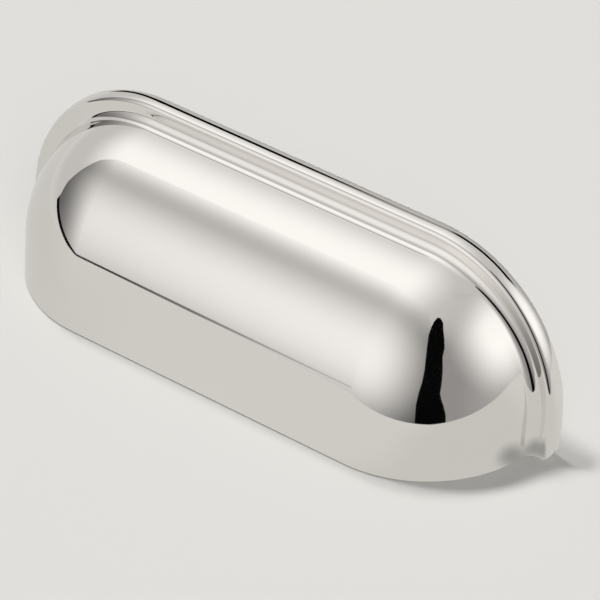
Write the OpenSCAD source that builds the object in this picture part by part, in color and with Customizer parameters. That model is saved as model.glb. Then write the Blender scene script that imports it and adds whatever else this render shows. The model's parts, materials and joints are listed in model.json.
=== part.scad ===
// Cup pull for a drawer front: a hollow quarter-round hood on a moulded flange, cast in one piece.
// X runs along the pull, +Z is up and the back face lies in the plane Y = 0, with the hood towards -Y.
// The origin is midway between the two fixing holes, on the back face.
// A section is drawn as (r, d): r is the distance from the spine that the section is swept round,
// and d is the depth in front of the back face.

/* [Overall] */
// Length over the flange
length = 114; // [90:1:160]
// Height of the back face, from its bottom edge to the top of the flange
height = 34.3; // [30:0.1:42]
// Depth from the back face to the front of the hood
depth = 24.1; // [20:0.1:30]
// Radius of the flange's upper corners, seen from the front
corner_r = 27.3; // [22:0.1:32]
// Thickness of the hood's wall
wall = 2.2; // [1.6:0.1:3.2]

/* [Flange moulding] */
// Width of the flange outside the hood
flange_w = 3.9; // [3.2:0.1:6]
// Thickness of the flange
flange_t = 3.1; // [2.4:0.1:4]
// Rounding of the flange's front edge
flange_edge_r = 1; // [0.4:0.1:1.4]
// Radius of the crown that the flange's outer edge has across its thickness
crown_r = 4.7; // [3.4:0.1:8]
// Depth at which the crowned edge stands out most
crown_d = 0.8; // [0.2:0.1:1.2]
// Radius of the cove between the flange's face and the hood
cove_r = 2; // [0.8:0.1:2.4]

/* [Rim] */
// Fall of the open rim from the back face to the front lip, in degrees
rim_tilt = 5.2; // [0:0.1:9]
// Rounding of the flange's two lower corners
foot_r = 1.6; // [0.6:0.1:3]

/* [Fixing] */
// Distance between the centres of the two fixing holes
hole_spacing = 76; // [64:1:96]
// Height of the fixing holes above the bottom edge of the back face
hole_h = 18; // [14:0.5:20]
// Radius of the posts that the fixing holes are tapped into
post_r = 4; // [3:0.1:5]
// Radius of a fixing hole before tapping
hole_r = 1.65; // [1.2:0.05:2.1]
// Depth of a fixing hole
hole_d = 11; // [6:0.5:12]

/* [Hidden] */
$fn = 96;
// Room that cutting shapes have past the faces they cut
spare = 5;
// How far a round reaches past the face that it runs smoothly into, so that the two always meet
touch = 0.001;
hood_r = corner_r - flange_w;
// Depth of the centre of the hood's round section
hood_d = depth - hood_r;
// Centre of the flange's front edge, whose round runs smoothly into the crown at the depth blend_d
edge_d = flange_t - flange_edge_r;
edge_x = corner_r - crown_r + sqrt(pow(crown_r - flange_edge_r, 2) - pow(edge_d - crown_d, 2)) + touch;
blend_d = crown_d + crown_r * (edge_d - crown_d) / (crown_r - flange_edge_r);
// The section is swept round a spine: level at the top, with a quarter turn down at each end
spine_x = length / 2 - corner_r;
spine_h = height - corner_r;
// How far the straight sides run down below the spine, to a little under the lowest point of the rim
side_drop = max(spine_h, 0) + depth * tan(rim_tilt) + spare;
metal = [0.80, 0.78, 0.74];

// The flange: a flat band with a rounded front edge and a crowned outer edge
module flange_section() {
    square([edge_x, flange_t]);
    translate([edge_x, edge_d]) circle(flange_edge_r);
    intersection() {
        translate([corner_r - crown_r, crown_d]) circle(crown_r);
        square([corner_r + spare, blend_d]);
    }
}

// The hood, filled, out to the given radius: a quarter round, with a straight foot where its centre is in front
module hood_section(r) {
    intersection() {
        translate([0, hood_d]) circle(r);
        square([2 * r, 2 * depth]);
    }
    if (hood_d > 0) square([r, hood_d]);
}

// The cove that fills the corner between the flange's face and the hood
module cove_section() {
    cove_d = flange_t + cove_r;
    cove_x = sqrt(pow(hood_r + cove_r, 2) - pow(cove_d - hood_d, 2));
    // Share of the way from the cove's centre to the hood's centre, ending inside the hood's wall
    reach = (cove_r + wall / 2) / (hood_r + cove_r);
    difference() {
        polygon([
            [cove_x, cove_d],
            [cove_x, flange_t - cove_r / 2],
            [cove_x * (1 - reach), flange_t - cove_r / 2],
            [cove_x * (1 - reach), cove_d + (hood_d - cove_d) * reach]
        ]);
        translate([cove_x, cove_d]) circle(cove_r + touch);
    }
}

// The casting's wall: the hood and its moulded flange, hollow inside
module wall_section() {
    difference() {
        union() {
            hood_section(hood_r);
            flange_section();
            cove_section();
        }
        hood_section(hood_r - wall);
    }
}

// Sweeps a section round the spine and straight down both sides.
// The flat front between the two sides lies from depth front_in to depth front_out.
module sweep(front_in, front_out) {
    translate([-spine_x, 0, spine_h]) rotate([180, -90, 0]) linear_extrude(2 * spine_x) children();
    for (side = [0, 1]) mirror([side, 0, 0]) translate([spine_x, 0, spine_h]) {
        rotate([90, 0, 0]) rotate_extrude(angle = 90) children();
        rotate([180, 0, 0]) linear_extrude(side_drop) children();
    }
    translate([-spine_x, -front_out, spine_h - side_drop])
        cube([2 * spine_x, front_out - front_in, side_drop]);
}

// Puts its children at both fixing holes, with their axis running forward from the back face
module at_holes() {
    for (side = [-1, 1]) translate([side * hole_spacing / 2, 0, hole_h]) rotate([90, 0, 0]) children();
}

// Posts for the fixing holes, from the back face to the middle of the hood's wall
module posts() {
    core_r = hood_r - wall / 2;
    intersection() {
        at_holes() cylinder(r = post_r, h = depth);
        sweep(0, hood_d + core_r) hood_section(core_r);
    }
}

// Everything below the sloping plane of the open rim, and outside the flange's rounded lower corners
module below_rim() {
    reach = depth + spare;
    rotate([rim_tilt, 0, 0]) {
        translate([-length, -reach, -2 * side_drop]) cube([2 * length, 2 * reach, 2 * side_drop]);
        for (side = [0, 1]) mirror([side, 0, 0])
            translate([length / 2 - foot_r + 10 * touch, reach, foot_r]) rotate([90, 0, 0]) linear_extrude(2 * reach)
                difference() {
                    translate([0, -foot_r - spare]) square(foot_r + spare);
                    circle(foot_r);
                }
    }
}

module cup_pull() {
    color(metal) translate([0, 0, -hole_h]) difference() {
        union() {
            sweep(depth - wall, depth) wall_section();
            posts();
        }
        at_holes() translate([0, 0, -spare]) cylinder(r = hole_r, h = hole_d + spare);
        below_rim();
    }
}

cup_pull();
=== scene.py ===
# %% [markdown]
# A cup pull is a small metal hood that is screwed to a drawer front from behind, so that the fingers can
# hook into it from below. This one is a single casting with a mirror-bright nickel finish.
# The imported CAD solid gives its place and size. The CAD mesh is made of uneven triangles, which a mirror
# finish would show, so this lesson sweeps a new, even mesh of the same form and lights it like a product.

# %% Load the frame
import json
from math import acos, asin, atan2, cos, pi, radians, sin, sqrt, tan

import bmesh
import bpy
from mathutils import Matrix, Vector


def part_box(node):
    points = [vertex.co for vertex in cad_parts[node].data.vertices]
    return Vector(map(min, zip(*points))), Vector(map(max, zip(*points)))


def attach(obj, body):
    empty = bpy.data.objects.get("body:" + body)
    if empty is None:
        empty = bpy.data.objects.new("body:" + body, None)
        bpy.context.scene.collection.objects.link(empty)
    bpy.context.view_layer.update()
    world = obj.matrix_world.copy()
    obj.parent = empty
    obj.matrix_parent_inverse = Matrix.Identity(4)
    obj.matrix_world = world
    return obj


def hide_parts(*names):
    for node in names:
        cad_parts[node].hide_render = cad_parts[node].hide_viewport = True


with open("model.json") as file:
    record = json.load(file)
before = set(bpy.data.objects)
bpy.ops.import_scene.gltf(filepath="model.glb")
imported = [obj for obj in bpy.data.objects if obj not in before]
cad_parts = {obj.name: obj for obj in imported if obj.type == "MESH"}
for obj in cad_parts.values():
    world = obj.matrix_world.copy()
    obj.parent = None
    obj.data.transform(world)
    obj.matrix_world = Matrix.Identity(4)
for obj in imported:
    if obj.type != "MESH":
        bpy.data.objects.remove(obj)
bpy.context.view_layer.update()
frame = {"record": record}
low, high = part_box("cup_pull")
MM = 0.001
print("CAD box in mm:", [round(v / MM, 2) for v in (*low, *high)])

# %% [markdown]
# The pull is one section swept round a spine: up one side, round a quarter turn, along the top, round
# another quarter turn and down the other side. The length, depth and height come from the frame, whose
# origin lies midway between the two fixing holes on the back face. The moulding's sizes are the
# casting's own.

# %% Sizes of the casting
length = high.x - low.x
depth = high.y - low.y
top = high.z
rim_tilt = radians(5.2)
back_foot = low.z + depth * tan(rim_tilt)
corner_r = 27.3 * MM
wall = 2.2 * MM
flange_w = 3.9 * MM
flange_t = 3.1 * MM
flange_edge_r = 1.0 * MM
crown_r = 4.7 * MM
crown_d = 0.8 * MM
cove_r = 2.0 * MM
foot_r = 1.6 * MM

hood_r = corner_r - flange_w
hood_d = depth - hood_r
spine_x = length / 2 - corner_r
spine_z = top - corner_r
print("back face foots at", round(back_foot / MM, 2), "mm, spine at", round(spine_z / MM, 2), "mm")

# %% [markdown]
# The section is drawn flat, as a chain of edges below the right-hand end of the spine. It could be a list
# of points, but a mirror shows every corner of such a list. A single vertex that is spun draws an arc, and
# a vertex that is extruded draws a straight line, so every round of the moulding is a true arc.
# The chain starts at the front of the hood, runs down the cove, over the flange's flat face, its rounded
# front edge and its crowned outer edge to the back face, and comes back along the inside of the hood.
# Each arc turns by just so much that the next one carries on smoothly.

# %% Draw the section
casting = bmesh.new()
spare = 4 * MM
section_z = low.z - spare


def at(r, d):
    """The point of the section that lies r from the spine and d in front of the back face."""
    return Vector((spine_x + r, -d, section_z))


def arc(start, centre, turn, steps):
    """Draws an arc from a vertex round a centre, and returns its last vertex."""
    made = bmesh.ops.spin(casting, geom=[start], cent=centre, axis=(0, 0, 1), angle=turn, steps=steps)
    return next(item for item in made["geom_last"] if isinstance(item, bmesh.types.BMVert))


def line(start, end, steps=1):
    """Draws a straight line from a vertex to a point, in even steps, and returns its last vertex."""
    stride = (end - start.co) / steps
    for _ in range(steps):
        made = bmesh.ops.extrude_vert_indiv(casting, verts=[start])
        start = made["verts"][0]
        bmesh.ops.translate(casting, verts=[start], vec=stride)
    return start


hood_centre = at(0, hood_d)
cove_d = flange_t + cove_r
cove_x = sqrt((hood_r + cove_r) ** 2 - (cove_d - hood_d) ** 2)
cove_turn = atan2(cove_x, cove_d - hood_d)
edge_d = flange_t - flange_edge_r
edge_x = corner_r - crown_r + sqrt((crown_r - flange_edge_r) ** 2 - (edge_d - crown_d) ** 2)
edge_turn = acos((edge_d - crown_d) / (crown_r - flange_edge_r))
crown_turn = pi / 2 + asin(crown_d / crown_r) - edge_turn

tip = bmesh.ops.create_vert(casting, co=at(0, depth))["vert"][0]
tip = arc(tip, hood_centre, cove_turn, steps=72)
tip = arc(tip, at(cove_x, cove_d), -cove_turn, steps=16)
tip = line(tip, at(edge_x, flange_t), steps=4)
tip = arc(tip, at(edge_x, edge_d), edge_turn, steps=14)
tip = arc(tip, at(corner_r - crown_r, crown_d), crown_turn, steps=14)
tip = line(tip, at(corner_r - foot_r, 0), steps=8)
tip = line(tip, at(hood_r - wall, 0), steps=2)
tip = line(tip, at(hood_r - wall, hood_d))
tip = arc(tip, hood_centre, -pi / 2, steps=64)
print("section has", len(casting.edges), "edges")

# %% [markdown]
# Now the chain is swept. A bevelled curve could sweep it too, but spin makes the corners true quarter
# turns with even faces. With no angle and a step, spin also carries the chain along the straight runs.
# The front of the hood is flat below the spine, so the front edges of the right-hand side are carried
# across to meet the left-hand side, and the doubles are merged.

# %% Sweep the section round the spine
side_rise = spine_z - section_z
side_steps, corner_steps, top_steps = 14, 64, 48
same_place = 1e-7


def carry(geom, stride, steps):
    """Extrudes geometry along a straight run and returns its last copy."""
    made = bmesh.ops.spin(casting, geom=geom, dvec=stride / steps, axis=(0, 0, 1), angle=0, steps=steps)
    return made["geom_last"]


def turn_corner(geom, side):
    """Extrudes geometry through the quarter turn at one end of the spine and returns its last copy."""
    centre = (side * spine_x, 0, spine_z)
    made = bmesh.ops.spin(casting, geom=geom, cent=centre, axis=(0, -1, 0), angle=pi / 2, steps=corner_steps)
    return made["geom_last"]


across = Vector((-2 * spine_x, 0, 0))
ring = list(casting.verts) + list(casting.edges)
ring = carry(ring, Vector((0, 0, side_rise)), side_steps)
front_edges = [e for e in casting.edges if all(abs(v.co.x - spine_x) < same_place for v in e.verts)]
ring = turn_corner(ring, 1)
ring = carry(ring, across, top_steps)
ring = turn_corner(ring, -1)
carry(ring, Vector((0, 0, -side_rise)), side_steps)
carry(front_edges + list({v for e in front_edges for v in e.verts}), across, top_steps)
bmesh.ops.remove_doubles(casting, verts=casting.verts, dist=same_place)
print("swept wall has", len(casting.faces), "faces")

# %% [markdown]
# The open rim slopes a little: its front lip is lower than the foot of the back face. A boolean could cut
# it, but one plane cut leaves the even faces above it alone, and the cut loop is filled to close the wall.
# The flange's two lower corners are rounded, by lifting the end of the flange off the rim along an arc
# that dies out a few millimetres up.

# %% Cut the rim and round the feet
rim_point = Vector((0, 0, back_foot))
rim_normal = Vector((0, -sin(rim_tilt), cos(rim_tilt)))
everything = list(casting.verts) + list(casting.edges) + list(casting.faces)
bmesh.ops.bisect_plane(casting, geom=everything, plane_co=rim_point, plane_no=rim_normal, clear_inner=True)
rim_loop = [e for e in casting.edges if e.is_boundary]
rim_faces = bmesh.ops.edgeloop_fill(casting, edges=rim_loop)["faces"]
bmesh.ops.triangulate(casting, faces=rim_faces)

lift_h = 4 * foot_r
for v in casting.verts:
    reach = abs(v.co.x) - (length / 2 - foot_r)
    above = (v.co - rim_point).dot(rim_normal)
    if reach > 0 and above < lift_h:
        rise = foot_r - sqrt(max(foot_r ** 2 - reach ** 2, 0))
        v.co += rim_normal * rise * (1 - above / lift_h)
bmesh.ops.recalc_face_normals(casting, faces=casting.faces)
open_edges = sum(e.is_boundary for e in casting.edges)
print("casting is closed" if open_edges == 0 else f"{open_edges} open edges")

# %% [markdown]
# Two posts stand inside the hood, with a blind tapped hole in each for the fixing screws. A post is a
# cylinder whose far end follows the middle of the hood's wall, so that it roots in the metal. It stays a
# closed shell of its own, because joining it to the wall would break up the hood's even faces. The hole
# is an inset of the near end, pushed in.

# %% Add the posts
screws = next(m for m in frame["record"]["mounts"] if m["name"] == "screws")
hole_spacing = screws["dims"]["spacing_x_mm"] * MM
hole_r = screws["dims"]["hole_r_mm"] * MM
hole_depth = 11 * MM
post_r = 4.0 * MM
core_r = hood_r - wall / 2


def add_post(side):
    """Adds the post at one end of the pull, as a closed shell rooted in the wall."""
    place = Matrix.Translation((side * hole_spacing / 2, 0, 0)) @ Matrix.Rotation(-pi / 2, 4, "X")
    disc = bmesh.ops.create_circle(casting, cap_ends=True, segments=64, radius=post_r, matrix=place)["verts"]
    near_end = disc[0].link_faces[0]
    far_end = bmesh.ops.extrude_face_region(casting, geom=[near_end], use_keep_orig=True)["geom"]
    far_face = next(f for f in far_end if isinstance(f, bmesh.types.BMFace))
    far_verts = list(far_face.verts)
    fan = bmesh.ops.poke(casting, faces=[far_face])
    for v in far_verts + fan["verts"]:
        from_spine = Vector((abs(v.co.x) - spine_x, v.co.z - spine_z)).length
        v.co.y = -hood_d - sqrt(core_r ** 2 - from_spine ** 2)
    bmesh.ops.inset_region(casting, faces=[near_end], thickness=post_r - hole_r)
    hole_end = bmesh.ops.extrude_face_region(casting, geom=[near_end])["geom"]
    bmesh.ops.delete(casting, geom=[near_end], context="FACES")
    hole_verts = [v for v in hole_end if isinstance(v, bmesh.types.BMVert)]
    bmesh.ops.translate(casting, verts=hole_verts, vec=(0, -hole_depth, 0))


for side in (-1, 1):
    add_post(side)
bmesh.ops.recalc_face_normals(casting, faces=casting.faces)
open_edges = sum(e.is_boundary for e in casting.edges)
print("posts at", round(hole_spacing / MM), "mm centres; open edges:", open_edges)

# %% [markdown]
# Only the outside is polished. The hollow, the posts and the back face keep the plated but unpolished
# surface that nobody sees in use, so those faces take the second material. A face is inside if it lies
# nearer to the spine than the middle of the wall, and it is the back if it faces straight back.

# %% Make the object
POLISHED, SATIN = 0, 1
straight_back = 0.99


def is_inside(face):
    """True for a face of the hollow, of a post or of the back."""
    middle = face.calc_center_median()
    out = Vector((max(abs(middle.x) - spine_x, 0), max(-middle.y - hood_d, 0), max(middle.z - spine_z, 0)))
    return out.length < core_r or face.normal.y > straight_back


for face in casting.faces:
    face.smooth = True
    face.material_index = SATIN if is_inside(face) else POLISHED
mesh = bpy.data.meshes.new("cup_pull_casting")
casting.to_mesh(mesh)
casting.free()
mesh.set_sharp_from_angle(angle=radians(35))
pull = bpy.data.objects.new("cup_pull_casting", mesh)
bpy.context.scene.collection.objects.link(pull)
print(pull.name, "has", len(mesh.polygons), "faces")

# %% [markdown]
# Polished nickel is a mirror with a faint warm tint. A metal shader without roughness would be a mirror
# too, but a perfect one, and buffing leaves real metal very slightly uneven. So a slow noise shifts the
# tint and the roughness by a hair, and a second one gives the surface a breath of ripple. All the patterns
# read Object coordinates, in metres.

# %% Polished nickel


def new_material(name):
    """A node material with its principled shader, its nodes and its links."""
    material = bpy.data.materials.new(name)
    material.use_nodes = True
    return material, material.node_tree.nodes, material.node_tree.links


def noise(nodes, links, scale, detail):
    """A noise pattern on Object coordinates, with scale in patches per metre."""
    place = nodes.new("ShaderNodeTexCoord")
    pattern = nodes.new("ShaderNodeTexNoise")
    pattern.inputs["Scale"].default_value = scale
    pattern.inputs["Detail"].default_value = detail
    links.new(place.outputs["Object"], pattern.inputs["Vector"])
    return pattern.outputs["Fac"]


def spread(nodes, links, value, lowest, highest):
    """Maps a pattern of about 0.3 to 0.7 to the given range."""
    mapped = nodes.new("ShaderNodeMapRange")
    mapped.inputs["From Min"].default_value = 0.3
    mapped.inputs["From Max"].default_value = 0.7
    mapped.inputs["To Min"].default_value = lowest
    mapped.inputs["To Max"].default_value = highest
    links.new(value, mapped.inputs["Value"])
    return mapped.outputs["Result"]


def tint(nodes, links, value, first, second):
    """Mixes two colours by a pattern."""
    mixed = nodes.new("ShaderNodeMix")
    mixed.data_type = "RGBA"
    mixed.inputs["A"].default_value = (*first, 1)
    mixed.inputs["B"].default_value = (*second, 1)
    links.new(value, mixed.inputs["Factor"])
    return mixed.outputs["Result"]


def ripple(nodes, links, shader, value, distance):
    """Gives a shader a bump of the given height in metres."""
    bump = nodes.new("ShaderNodeBump")
    bump.inputs["Strength"].default_value = 1
    bump.inputs["Distance"].default_value = distance
    links.new(value, bump.inputs["Height"])
    links.new(bump.outputs["Normal"], shader.inputs["Normal"])


nickel, nodes, links = new_material("polished_nickel")
shader = nodes["Principled BSDF"]
shader.inputs["Metallic"].default_value = 1
buffing = noise(nodes, links, scale=90, detail=3)
nickel_tint = tint(nodes, links, buffing, (0.835, 0.815, 0.790), (0.855, 0.835, 0.812))
links.new(nickel_tint, shader.inputs["Base Color"])
links.new(spread(nodes, links, buffing, 0.025, 0.045), shader.inputs["Roughness"])
ripple(nodes, links, shader, noise(nodes, links, scale=120, detail=1), 0.0006 * MM)
pull.data.materials.append(nickel)
print("made", nickel.name)

# %% [markdown]
# The hollow has the same plating over an unpolished casting: duller, with the fine pebbled skin that the
# mould leaves. The pebbles are too fine to model, so a noise gives them as a bump.

# %% Satin nickel inside
satin, nodes, links = new_material("satin_nickel_inside")
shader = nodes["Principled BSDF"]
shader.inputs["Metallic"].default_value = 1
skin = noise(nodes, links, scale=1600, detail=4)
satin_tint = tint(nodes, links, skin, (0.70, 0.685, 0.66), (0.78, 0.765, 0.74))
links.new(satin_tint, shader.inputs["Base Color"])
links.new(spread(nodes, links, skin, 0.22, 0.36), shader.inputs["Roughness"])
ripple(nodes, links, shader, skin, 0.02 * MM)
pull.data.materials.append(satin)
print("made", satin.name)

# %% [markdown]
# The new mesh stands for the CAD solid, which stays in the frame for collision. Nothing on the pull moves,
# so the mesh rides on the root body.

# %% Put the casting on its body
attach(pull, "root")
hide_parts("cup_pull")
print(pull.name, "rides on root")

# %% [markdown]
# The pull stands on its rim, so the floor lies in the plane of the rim and the pull leans back by the
# rim's slope. Everything of the stage is placed in a frame of its own, with its floor at zero.

# %% Stage frame
stage_frame = Matrix.Translation((0, 0, back_foot)) @ Matrix.Rotation(rim_tilt, 4, "X")
pale = (0.745, 0.737, 0.708)


def stage_object(name, shape, material):
    """Puts a stage mesh in the stage frame."""
    data = bpy.data.meshes.new(name)
    shape.to_mesh(data)
    shape.free()
    data.materials.append(material)
    placed = bpy.data.objects.new(name, data)
    placed.matrix_world = stage_frame
    bpy.context.scene.collection.objects.link(placed)
    return placed


def show_only_in_reflections(placed):
    """Hides an object from every kind of ray but the glossy ones."""
    placed.visible_camera = False
    placed.visible_diffuse = False
    placed.visible_transmission = False
    placed.visible_shadow = False


def direction(azimuth, elevation):
    """A unit vector: azimuth from the front towards +X, elevation above the floor, in degrees."""
    a, e = radians(azimuth), radians(elevation)
    return Vector((sin(a) * cos(e), -cos(a) * cos(e), sin(e)))


print("stage leans by", round(rim_tilt * 180 / pi, 1), "degrees")

# %% [markdown]
# The floor that the camera sees is a wide, plain, pale plane, which takes the shadow. It lies a hair below
# the rim, so that a thin dark line shows where the pull stands on it. Reflections don't show it: they show
# a table sheet of their own, which is laid with the rest of the studio below.

# %% Floor
paper, nodes, links = new_material("pale_paper")
shader = nodes["Principled BSDF"]
shader.inputs["Base Color"].default_value = (*pale, 1)
shader.inputs["Roughness"].default_value = 0.9
shader.inputs["Specular IOR Level"].default_value = 0.0

floor_reach = 6
contact_gap = 0.3 * MM
below_rim = Matrix.Translation((0, 0, -contact_gap))
shape = bmesh.new()
bmesh.ops.create_grid(shape, x_segments=1, y_segments=1, size=floor_reach, matrix=below_rim)
floor = stage_object("floor", shape, paper)
floor.visible_glossy = False
print("floor laid")

# %% [markdown]
# A mirror shows the studio more than itself. A picture of a studio could be wrapped round the scene, but
# a modelled light tent can be moved panel by panel until each reflection sits where it belongs. It is a
# dome of cloth with a ceiling softbox on the left, a front panel, a panel on the right and a dark slot
# between them that the camera looks through. Each panel is cut from a dome by planes, and glows from a
# hot spot outwards. The tent shows only in reflections: the world and the lamps light the floor.

# %% Light tent helpers


def glow(nodes, links, centre, level, edge, inner, outer):
    """A soft light spot: level within inner degrees of its centre, easing to edge at outer degrees."""
    place = nodes.new("ShaderNodeTexCoord")
    unit = nodes.new("ShaderNodeVectorMath")
    unit.operation = "NORMALIZE"
    links.new(place.outputs["Object"], unit.inputs[0])
    facing = nodes.new("ShaderNodeVectorMath")
    facing.operation = "DOT_PRODUCT"
    facing.inputs[1].default_value = direction(*centre)
    links.new(unit.outputs["Vector"], facing.inputs[0])
    angle = nodes.new("ShaderNodeMath")
    angle.operation = "ARCCOSINE"
    links.new(facing.outputs["Value"], angle.inputs[0])
    return ease(nodes, links, angle.outputs["Value"], level, edge, radians(inner), radians(outer))


def ease(nodes, links, value, level, edge, inner, outer):
    """Eases from level to edge while a value goes from inner to outer."""
    falloff = nodes.new("ShaderNodeMapRange")
    falloff.interpolation_type = "SMOOTHSTEP"
    falloff.inputs["From Min"].default_value = inner
    falloff.inputs["From Max"].default_value = outer
    falloff.inputs["To Min"].default_value = level
    falloff.inputs["To Max"].default_value = edge
    links.new(value, falloff.inputs["Value"])
    return falloff.outputs["Result"]


def combine(nodes, links, operation, first, second):
    """Joins two light levels by a sum, a product or the larger of them."""
    joined = nodes.new("ShaderNodeMath")
    joined.operation = operation
    links.new(first, joined.inputs[0])
    links.new(second, joined.inputs[1])
    return joined.outputs["Value"]


def light_cloth(name, colour=(1.0, 0.985, 0.965)):
    """A material that only emits, and the socket that takes its light level."""
    material, nodes, links = new_material(name)
    nodes.remove(nodes["Principled BSDF"])
    lamp = nodes.new("ShaderNodeEmission")
    lamp.inputs["Color"].default_value = (*colour, 1)
    links.new(lamp.outputs["Emission"], nodes["Material Output"].inputs["Surface"])
    return material, nodes, links, lamp.inputs["Strength"]


def tent_panel(name, radius, cuts, material):
    """Cuts a panel from a dome.

    A cut runs through two directions and keeps the side of their cross product.
    """
    shape = bmesh.new()
    bmesh.ops.create_uvsphere(shape, u_segments=128, v_segments=64, radius=radius)
    for first, second in cuts:
        kept = direction(*first).cross(direction(*second))
        everything = list(shape.verts) + list(shape.edges) + list(shape.faces)
        bmesh.ops.bisect_plane(shape, geom=everything, plane_co=(0, 0, 0), plane_no=kept, clear_inner=True)
    show_only_in_reflections(stage_object(name, shape, material))
    print(name, "hung")


def tent_patch(name, radius, outline, material):
    """Hangs a patch in the tent, whose outline runs through the given directions."""
    shape = bmesh.new()
    corners = [bmesh.ops.create_vert(shape, co=radius * direction(*spot))["vert"][0] for spot in outline]
    for pair in zip(corners, corners[1:] + corners[:1]):
        bmesh.ops.contextual_create(shape, geom=pair)
    bmesh.ops.triangle_fill(shape, use_beauty=True, edges=shape.edges)
    show_only_in_reflections(stage_object(name, shape, material))
    print(name, "hung")


# %% [markdown]
# The lower band of the hood shows the table that the pull stands on. The sheet that stands for it there
# glows evenly, which is painted light in place of the lit table, because a mirrored floor would bring the
# whole shadow into the band. It dims a little towards both ends, which is painted shade, and has one small
# painted shadow, a dark patch where the right foot meets its own shadow.

# %% Table sheet


def painted_shadow_spot(nodes, links, centre, level, inner, outer):
    """A painted shadow on the sheet: a soft dark patch, level within inner metres of its centre, easing to 1
    at outer.
    """
    place = nodes.new("ShaderNodeTexCoord")
    away = nodes.new("ShaderNodeVectorMath")
    away.operation = "DISTANCE"
    away.inputs[1].default_value = centre
    links.new(place.outputs["Object"], away.inputs[0])
    return ease(nodes, links, away.outputs["Value"], level, 1, inner, outer)


# Painted light: this sheet glows in place of the lit table that it stands for in reflections.
cloth, nodes, links, level = light_cloth("glowing_table_sheet", pale)
# Painted shade towards both ends of the sheet, and a painted shadow round the right foot.
painted_right_shade = glow(nodes, links, centre=(74, 0), level=0.88, edge=0.97, inner=12, outer=30)
painted_left_shade = glow(nodes, links, centre=(-95, 0), level=0.92, edge=1.0, inner=25, outer=65)
right_foot = (54 * MM, -6 * MM, 0)
painted_foot_shadow = painted_shadow_spot(nodes, links, right_foot, level=0.55, inner=0.6 * MM, outer=5 * MM)
painted_end_shades = combine(nodes, links, "MULTIPLY", painted_right_shade, painted_left_shade)
links.new(combine(nodes, links, "MULTIPLY", painted_end_shades, painted_foot_shadow), level)
near_edge = [(-0.60, -0.53), (0.066, -0.047), (0.60, 0.15)]
far_edge = [(0.60, 1.2), (-0.60, 1.2)]
shape = bmesh.new()
corners = [bmesh.ops.create_vert(shape, co=(x, y, 0))["vert"][0] for x, y in near_edge + far_edge]
bmesh.ops.contextual_create(shape, geom=corners)
show_only_in_reflections(stage_object("glowing_table_sheet", shape, cloth))
print("sheet laid")

# %% [markdown]
# The tent's own cloth is a whole dome. Its light comes from a softbox high on the left, and the back is
# dimmer. The panels hang inside it, each at a radius of its own, so that the nearer cloth hides the farther
# one. A panel that meets the ceiling gives way to the sky's level there, so that no edge shows on the hood.

# %% Light tent
tent_radius = 3.0
gap_radius = 2.85
back_left_radius = 2.84
apron_radius = 2.82
panel_radius = 2.8
slot_radius = 2.6


def sky(nodes, links):
    """The level of the tent's own cloth: a ceiling softbox, with a brighter foot and a dimmer back."""
    ceiling = glow(nodes, links, centre=(-98, 64), level=1.14, edge=0.62, inner=3, outer=42)
    foot = glow(nodes, links, centre=(0, 90), level=0.0, edge=0.08, inner=80, outer=90)
    back = glow(nodes, links, centre=(180, 0), level=0.72, edge=1.0, inner=24, outer=52)
    return combine(nodes, links, "MULTIPLY", combine(nodes, links, "ADD", ceiling, foot), back)


def under_sky(nodes, links, panel_level, centre, inner, outer):
    """Lets a panel's level give way to the sky's, from outer to inner degrees off the given centre."""
    sky_share = glow(nodes, links, centre, level=1.0, edge=0.0, inner=inner, outer=outer)
    panel_share = glow(nodes, links, centre, level=0.0, edge=1.0, inner=inner, outer=outer)
    overhead = combine(nodes, links, "MULTIPLY", sky(nodes, links), sky_share)
    panel = combine(nodes, links, "MULTIPLY", panel_level, panel_share)
    return combine(nodes, links, "ADD", overhead, panel)


cloth, nodes, links, level = light_cloth("tent_cloth")
links.new(sky(nodes, links), level)
tent_panel("tent", tent_radius, [], cloth)

# %% [markdown]
# The front panel is the broad light in the middle of the hood. It is brightest near its middle and shaded
# at its left end, where the hood turns dark. Its lower edge is cut in short straight runs that follow the
# line between hood and band, and an apron of the same cloth hangs below it on the right.

# %% Front panel
cloth, nodes, links, level = light_cloth("front_panel_cloth")
spot = glow(nodes, links, centre=(-23, 24.3), level=1.02, edge=0.10, inner=5, outer=71)
shade = glow(nodes, links, centre=(-65, 4.5), level=0.38, edge=1.0, inner=5.6, outer=42)
panel_level = combine(nodes, links, "MULTIPLY", spot, shade)
links.new(under_sky(nodes, links, panel_level, centre=(168, 35.5), inner=61.5, outer=87), level)
front_right_edge = ((40, 0), (40, 45))
front_cuts = [
    ((-87, 45), (-87, 0)),
    ((-86.8, 41.7), (-78.6, 16)),
    ((-79.3, 17.5), (-73.4, 9.2)),
    ((-74, 9.5), (-33, -2.2)),
    front_right_edge,
]
apron_cuts = [
    ((-36, 45), (-36, 0)),
    ((-26, -4.6), (-34, -5.6)),
    front_right_edge,
]
tent_panel("front_panel", panel_radius, front_cuts, cloth)
tent_panel("front_apron", apron_radius, apron_cuts, cloth)

# %% [markdown]
# The right panel lights the round right end of the hood. It glows from one hot spot far to the right, so
# that the end shades off towards the slot and looks round.

# %% Right panel
cloth, nodes, links, level = light_cloth("right_panel_cloth")
hot_spot = glow(nodes, links, centre=(114, 33), level=1.13, edge=0.32, inner=5, outer=49)
foot = glow(nodes, links, centre=(100, 0), level=0.12, edge=0.0, inner=5, outer=45)
spot = combine(nodes, links, "ADD", hot_spot, foot)
links.new(under_sky(nodes, links, spot, centre=(0, 90), inner=15, outer=48), level)
right_cuts = [
    ((40, 45), (40, 0)),
    ((146, 0), (146, 45)),
]
tent_panel("right_panel", panel_radius, right_cuts, cloth)

# %% [markdown]
# The dark lines in the metal are the places where the tent is open: the slot that the camera looks
# through, the gap under the front panel, a corner at the back on the left and a low gap along the back.
# Two of the lines fade along their length, so the cloth behind those gaps gets lighter to one side.

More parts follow.
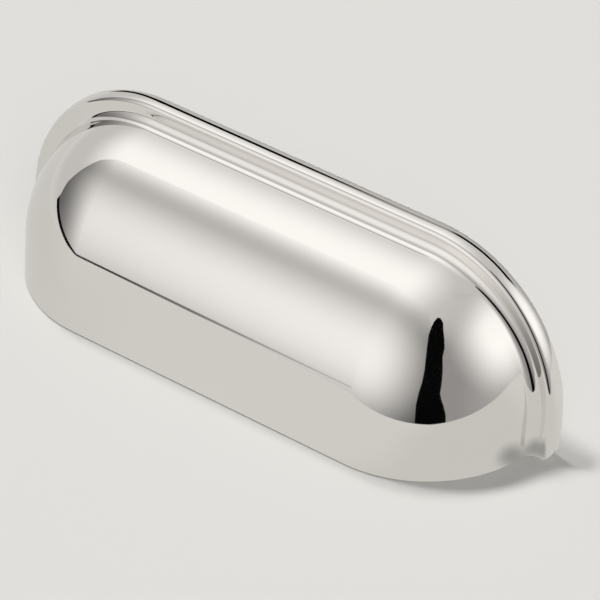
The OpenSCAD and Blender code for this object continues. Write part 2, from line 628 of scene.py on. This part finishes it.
# %% Dark slot and gaps
black_level = 0.002
dark, nodes, links, level = light_cloth("dark_gap")
level.default_value = black_level
slot_left = [
    (26.5, -26), (27.3, 0), (28.8, 10), (31.3, 20), (32.8, 30), (34, 45), (36, 58), (41, 64.5), (48, 69),
]
slot_right = [
    (58, 71.5), (64, 70.5), (65, 66), (60.5, 61), (57.5, 53), (55, 46), (51, 39), (49.5, 28), (47.5, 17),
    (46, 10), (46.8, 5), (48.2, 0), (50, -8), (50.5, -26),
]
tent_patch("camera_slot", slot_radius, slot_left + slot_right, dark)
back_left = [
    (-127, -3), (-128, 9), (-130.5, 24), (-133, 36), (-138, 42.5),
    (-146, 34.5), (-138, 24), (-135, 9), (-133, -3),
]
tent_patch("back_left_gap", back_left_radius, back_left, dark)

cloth, nodes, links, level = light_cloth("panel_gap_cloth")
fade = glow(nodes, links, centre=(-90, 0), level=black_level, edge=0.5, inner=57, outer=63)
links.new(fade, level)
gap_cuts = [
    ((-74.5, 45), (-74.5, 0)),
    ((-76, 7.0), (-38, -3.3)),
    ((0, 0), (0, 45)),
    ((-30, 30), (-60, 30)),
]
tent_panel("panel_gap", gap_radius, gap_cuts, cloth)

cloth, nodes, links, level = light_cloth("back_gap_cloth")
fade = glow(nodes, links, centre=(-148.5, 38), level=0.35, edge=black_level, inner=4, outer=10.5)
links.new(fade, level)
back_cuts = [
    ((-134, 0), (-134, 45)),
    ((147, 45), (147, 0)),
    ((-139, 42), (139, 42)),
    ((145, 34), (-145, 34)),
]
tent_panel("back_gap", gap_radius, back_cuts, cloth)

# %% [markdown]
# The camera and the metal see a pale world behind everything, and a white one gives the floor an even
# share of its light. Three wide, soft sun lamps give the rest. The key, high on the left, draws the shadow
# to the right of the pull, the lamp behind it draws the one in front of the right end, and the front lamp
# fills. They are hidden from glossy rays, because the tent already stands for them there.

# %% World and lamps
world = bpy.data.worlds.new("studio")
bpy.context.scene.world = world
world.use_nodes = True
nodes, links = world.node_tree.nodes, world.node_tree.links
fill_share = 0.24
fill = nodes["Background"]
fill.inputs["Color"].default_value = (1, 1, 1, 1)
fill.inputs["Strength"].default_value = fill_share
backdrop = nodes.new("ShaderNodeBackground")
backdrop.inputs["Color"].default_value = (*pale, 1)
rays = nodes.new("ShaderNodeLightPath")
seen = combine(nodes, links, "MAXIMUM", rays.outputs["Is Camera Ray"], rays.outputs["Is Glossy Ray"])
seen = combine(nodes, links, "MAXIMUM", seen, rays.outputs["Is Transmission Ray"])
choose = nodes.new("ShaderNodeMixShader")
links.new(seen, choose.inputs["Fac"])
links.new(fill.outputs["Background"], choose.inputs[1])
links.new(backdrop.outputs["Background"], choose.inputs[2])
links.new(choose.outputs["Shader"], nodes["World Output"].inputs["Surface"])


def add_lamp(name, azimuth, elevation, share, width):
    """A sun lamp, width degrees wide, that gives the floor a share of its light and isn't mirrored."""
    lamp = bpy.data.lights.new(name, "SUN")
    lamp.energy = share * pi / sin(radians(elevation))
    lamp.angle = radians(width)
    placed = bpy.data.objects.new(name, lamp)
    placed.visible_glossy = False
    facing = direction(azimuth, elevation).to_track_quat("Z", "Y").to_matrix().to_4x4()
    placed.matrix_world = stage_frame @ facing
    bpy.context.scene.collection.objects.link(placed)
    print(name, "lamp gives", round(100 * share), "% of the floor's light")


add_lamp("key", azimuth=-86, elevation=63, share=0.38, width=9)
add_lamp("back_left", azimuth=-118, elevation=67, share=0.23, width=10)
add_lamp("front", azimuth=45, elevation=45, share=0.15, width=40)

# %% [markdown]
# A long lens looks down on the pull from the front right. The camera is placed in the stage's frame, by
# its bearing, its height and its distance, and aims a little above and to the right of the foot of the
# back face.

# %% Camera
camera_azimuth, camera_elevation, camera_distance = 37.56, 37.32, 0.6797
focal_length = 233.0
aim_right, aim_up = 0.00171, 0.00470
back = direction(camera_azimuth, camera_elevation)
turn = back.to_track_quat("Z", "Y").to_matrix()
aim = turn @ Vector((aim_right, aim_up, 0))
camera = bpy.data.cameras.new("camera")
camera.sensor_width = 36
camera.lens = focal_length
camera.clip_end = 20
camera_object = bpy.data.objects.new("camera", camera)
camera_object.matrix_world = stage_frame @ Matrix.Translation(aim + back * camera_distance) @ turn.to_4x4()
bpy.context.scene.collection.objects.link(camera_object)
bpy.context.scene.camera = camera_object
bpy.context.scene.view_settings.view_transform = "Standard"
print("camera at", [round(v, 4) for v in camera_object.matrix_world.translation])
